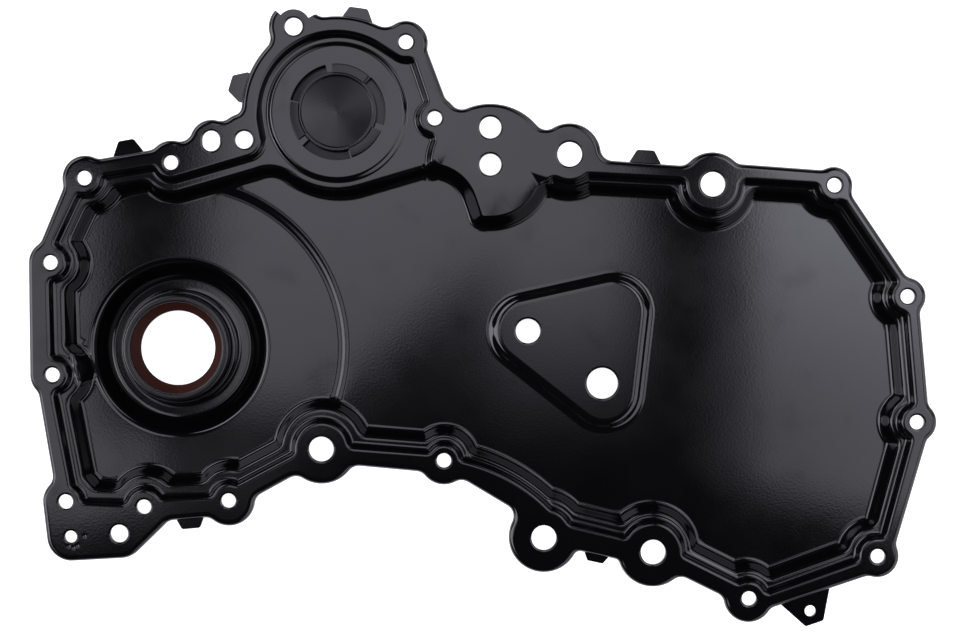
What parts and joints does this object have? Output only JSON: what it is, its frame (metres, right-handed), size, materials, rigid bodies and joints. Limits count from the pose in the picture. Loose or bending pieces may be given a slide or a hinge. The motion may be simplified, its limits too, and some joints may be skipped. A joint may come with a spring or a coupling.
{
  "type": "timing chain cover",
  "caption": "Pressed steel timing chain cover with a rolled bolting flange, stepped walls, a crankshaft seal in a conical trough, a three-cornered pad and a turn-in access plug.",
  "frame": {"origin": "crank axis at the middle of the seal lip's land", "axes": "+Z along the crank axis towards the engine, square to the flange's mating face; +X along the cover's length; +Y across it"},
  "size_m": [0.4415, 0.3018, 0.0223],
  "materials": {
    "black_paint": "satin",
    "seal_rubber": "satin",
    "lip_rubber": "matte",
    "plug_plastic": "satin",
    "ring_rubber": "matte"
  },
  "bodies": {
    "root": {"pressed_cover": "black_paint", "seal_case": "seal_rubber", "seal_lip": "lip_rubber", "access_plug": "plug_plastic", "plug_ring": "ring_rubber"}
  },
  "joints": []
}
